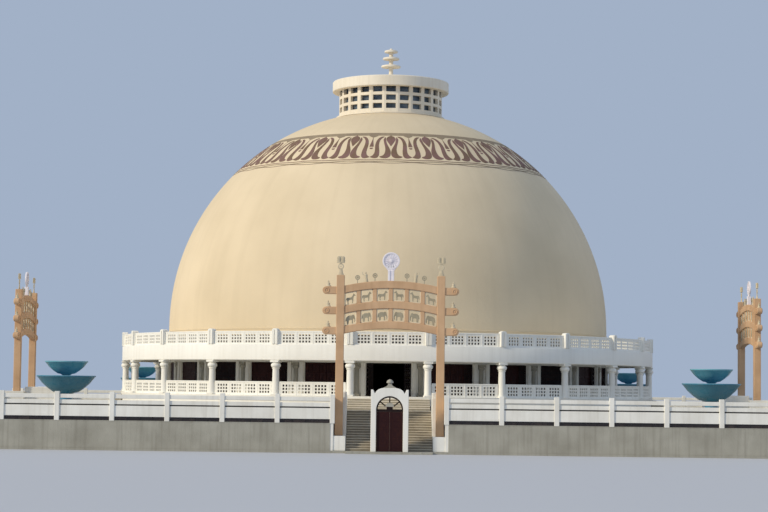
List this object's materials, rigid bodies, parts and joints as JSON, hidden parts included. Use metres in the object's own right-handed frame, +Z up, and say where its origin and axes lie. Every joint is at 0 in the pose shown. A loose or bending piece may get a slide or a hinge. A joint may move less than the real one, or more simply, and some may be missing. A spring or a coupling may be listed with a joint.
{
  "type": "scale model of a domed stupa",
  "caption": "One to two scale model of a hollow domed stupa with a round verandah on a square podium, arched gateways, stairs, corner fountains and a small gate with hinged doors.",
  "frame": {"origin": "on the dome's axis, on the underside of the podium floor slab, at ground level", "axes": "+Z up, -Y towards the front with the arch gate, +X to the right seen from the front"},
  "size_m": [32.15, 32.65, 16.585],
  "materials": {
    "cream_plaster": "matte painted plaster",
    "white_wall": "matte paint",
    "grey_floor": "rough plaster",
    "paving": "matte paving",
    "step_stone": "matte stone",
    "sandstone": "matte stone",
    "door_paint": "satin paint",
    "dark_glass": "dusty glass",
    "blue_bowl": "matte paint"
  },
  "bodies": {
    "building": {"podium_floor": "grey_floor", "front_right_podium_wall": "white_wall", "back_right_podium_wall": "white_wall", "back_left_podium_wall": "white_wall", "front_left_podium_wall": "white_wall", "terrace_slab": "paving", "front_lower_stair": "step_stone", "right_lower_stair": "step_stone", "back_lower_stair": "step_stone", "left_lower_stair": "step_stone", "front_upper_stair": "step_stone", "right_upper_stair": "step_stone", "back_upper_stair": "step_stone", "left_upper_stair": "step_stone", "hall_floor": "paving", "front_dome_wall": "cream_plaster", "right_dome_wall": "cream_plaster", "back_dome_wall": "cream_plaster", "left_dome_wall": "cream_plaster", "front_verandah_plinth": "white_wall", "right_verandah_plinth": "white_wall", "back_verandah_plinth": "white_wall", "left_verandah_plinth": "white_wall", "front_colonnade": "white_wall", "right_colonnade": "white_wall", "back_colonnade": "white_wall", "left_colonnade": "white_wall", "front_verandah_roof": "white_wall", "right_verandah_roof": "white_wall", "back_verandah_roof": "white_wall", "left_verandah_roof": "white_wall", "front_roof_balustrade": "white_wall", "right_roof_balustrade": "white_wall", "back_roof_balustrade": "white_wall", "left_roof_balustrade": "white_wall", "front_dome_shell": "cream_plaster", "right_dome_shell": "cream_plaster", "back_dome_shell": "cream_plaster", "left_dome_shell": "cream_plaster", "lantern_drum": "cream_plaster", "lantern_glazing": "dark_glass", "lantern_cap": "cream_plaster", "umbrella_mast": "cream_plaster", "lower_umbrella_disc": "cream_plaster", "middle_umbrella_disc": "cream_plaster", "upper_umbrella_disc": "cream_plaster", "front_torana": "sandstone", "right_torana": "sandstone", "back_torana": "sandstone", "left_torana": "sandstone", "arch_gate_frame": "white_wall", "arch_gate_fanlight": "door_paint", "front_right_fountain": "blue_bowl", "back_right_fountain": "blue_bowl", "back_left_fountain": "blue_bowl", "front_left_fountain": "blue_bowl"},
    "left_leaf": {"arch_gate_left_leaf": "door_paint"},
    "right_leaf": {"arch_gate_right_leaf": "door_paint"}
  },
  "joints": [
    {"name": "left_leaf_hinge", "type": "hinge", "parent": "building", "child": "left_leaf", "pos_m": [-0.428, -16.44, 0.75], "axis": [0, 0, -1], "range_deg": [0, 90]},
    {"name": "right_leaf_hinge", "type": "hinge", "parent": "building", "child": "right_leaf", "pos_m": [0.428, -16.44, 0.75], "axis": [0, 0, 1], "range_deg": [0, 90]}
  ]
}
